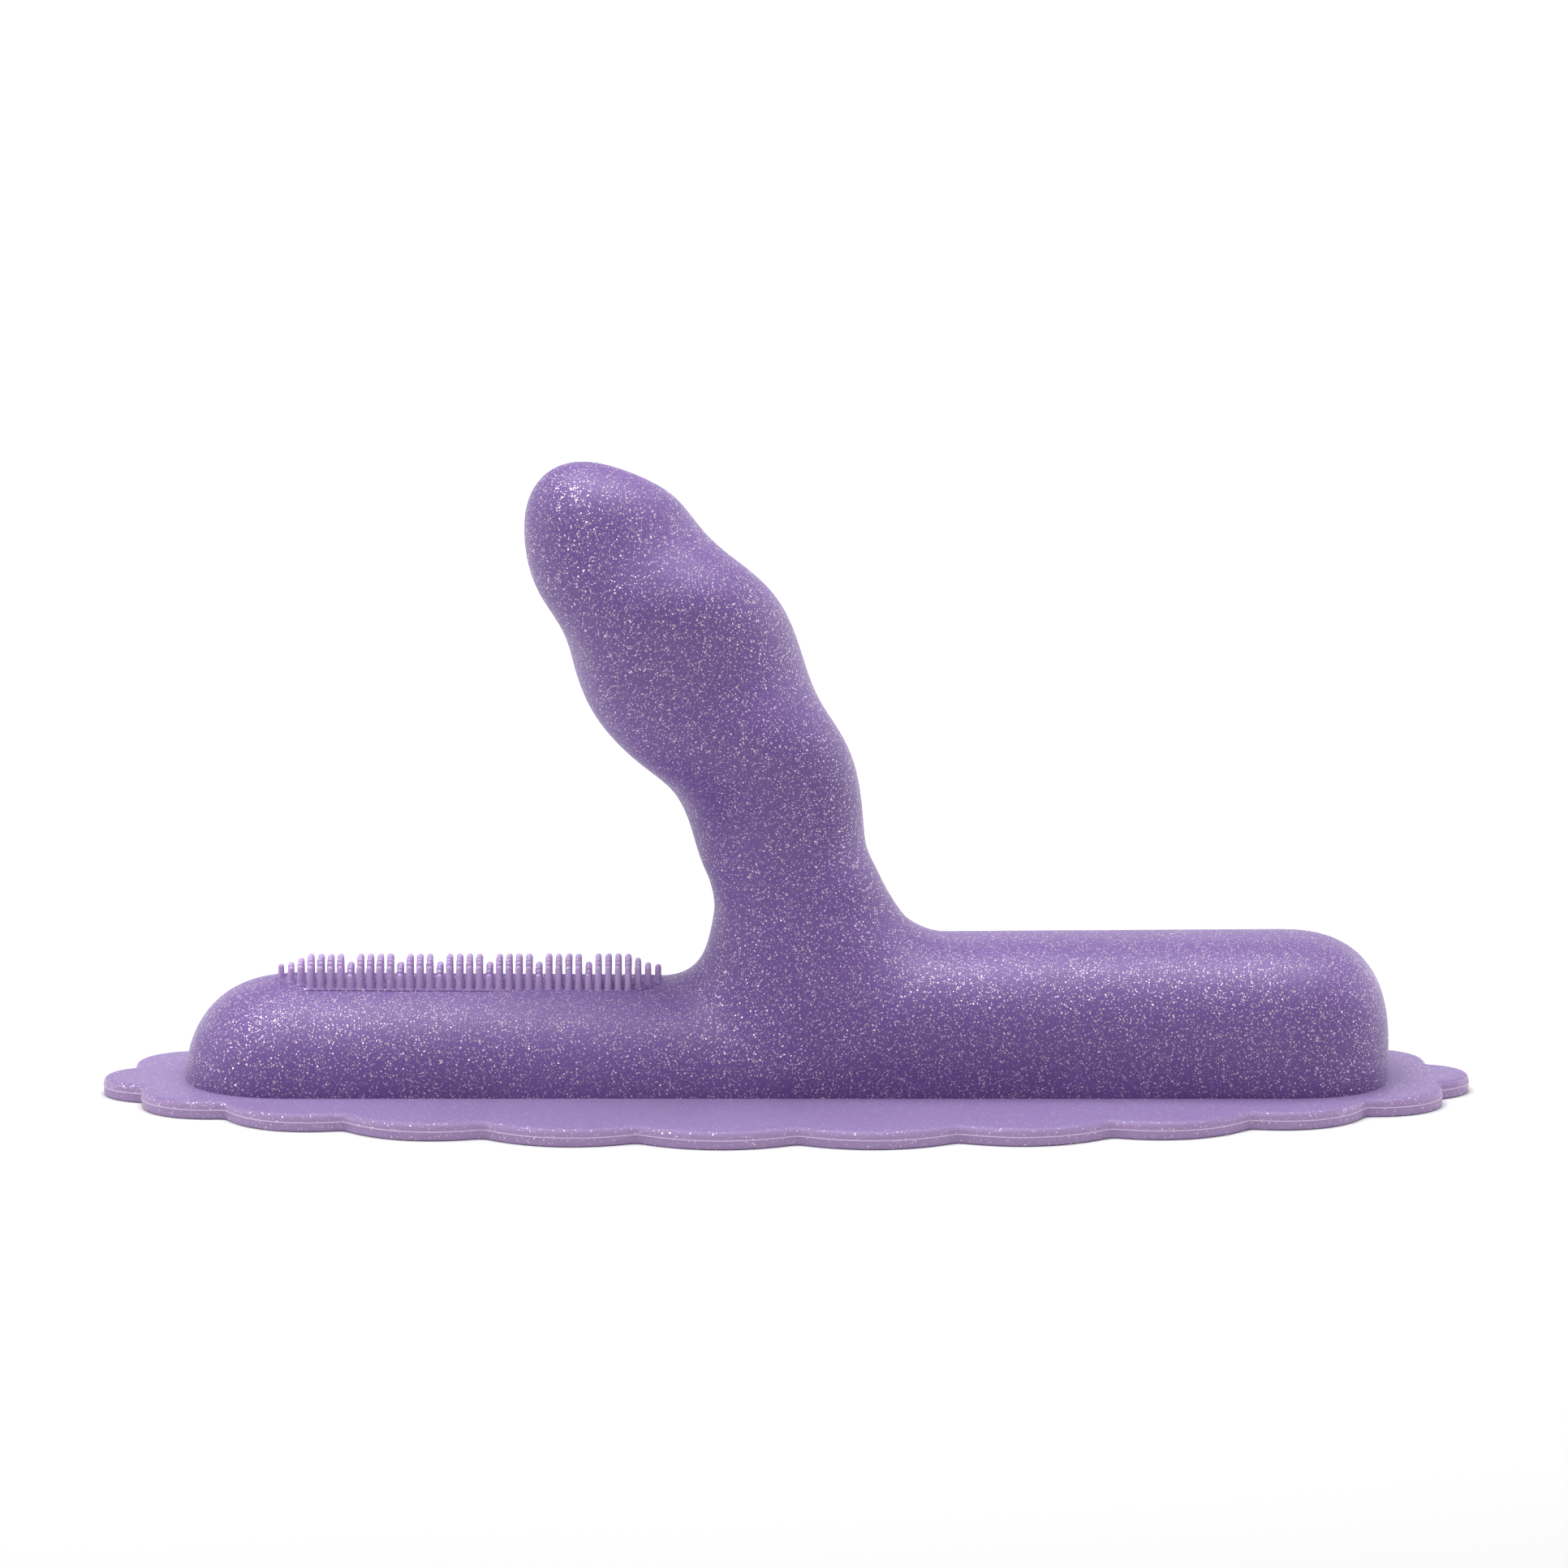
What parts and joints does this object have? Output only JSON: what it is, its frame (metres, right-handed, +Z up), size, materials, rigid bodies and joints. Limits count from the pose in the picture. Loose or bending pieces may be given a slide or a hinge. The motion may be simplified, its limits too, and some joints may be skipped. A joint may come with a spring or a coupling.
{
  "type": "saddle massager attachment",
  "caption": "Silicone attachment for a ride-on saddle massager: scalloped flange, hollow ridge with a bristle bed, and a leaning twisted stem on a drive sleeve.",
  "frame": {"origin": "middle of the flange's underside, on the surface that the part stands on", "axes": "+Z up, +X towards the rear, where the ridge is taller; the stem leans towards -X, over the bristles"},
  "size_m": [0.3018, 0.1174, 0.1413],
  "materials": {
    "glitter_silicone": "satin translucent silicone with fine glitter",
    "bristle_silicone": "satin translucent silicone, lighter where thin",
    "core_plastic": "moulded natural nylon",
    "bush_plastic": "turned acetal",
    "drive_plastic": "moulded black glass-filled nylon",
    "steel": "brushed spring steel"
  },
  "bodies": {
    "mat": {"scalloped_flange": "glitter_silicone", "front_ridge": "glitter_silicone", "rear_ridge": "glitter_silicone", "bristle_bed": "glitter_silicone", "bristle_row_1": "bristle_silicone", "bristle_row_2": "bristle_silicone", "bristle_row_3": "bristle_silicone", "bristle_row_4": "bristle_silicone", "bristle_row_5": "bristle_silicone", "bristle_row_6": "bristle_silicone", "bristle_row_7": "bristle_silicone"},
    "neck": {"neck_collar": "glitter_silicone"},
    "stem": {"stem_root": "glitter_silicone", "stem_skin": "glitter_silicone", "stem_core": "core_plastic", "core_tip_cap": "core_plastic", "upper_bush": "bush_plastic", "lower_bush": "bush_plastic"},
    "drive": {"drive_sleeve": "drive_plastic", "thrust_washer": "steel", "retaining_ring": "steel"}
  },
  "joints": [
    {"name": "stem_side_sway", "type": "hinge", "parent": "mat", "child": "neck", "pos_m": [0.00704, 0, 0.043], "axis": [1, 0, 0], "range_deg": [-8, 8], "stiffness_Nm_per_rad": 4},
    {"name": "stem_fore_sway", "type": "hinge", "parent": "neck", "child": "stem", "pos_m": [0.00704, 0, 0.043], "axis": [0, 1, 0], "range_deg": [-8, 8], "stiffness_Nm_per_rad": 4},
    {"name": "drive_spin", "type": "hinge", "parent": "stem", "child": "drive", "pos_m": [0.00704, 0, 0.043], "axis": [-0.5373, 0, 0.8434], "continuous": true}
  ]
}
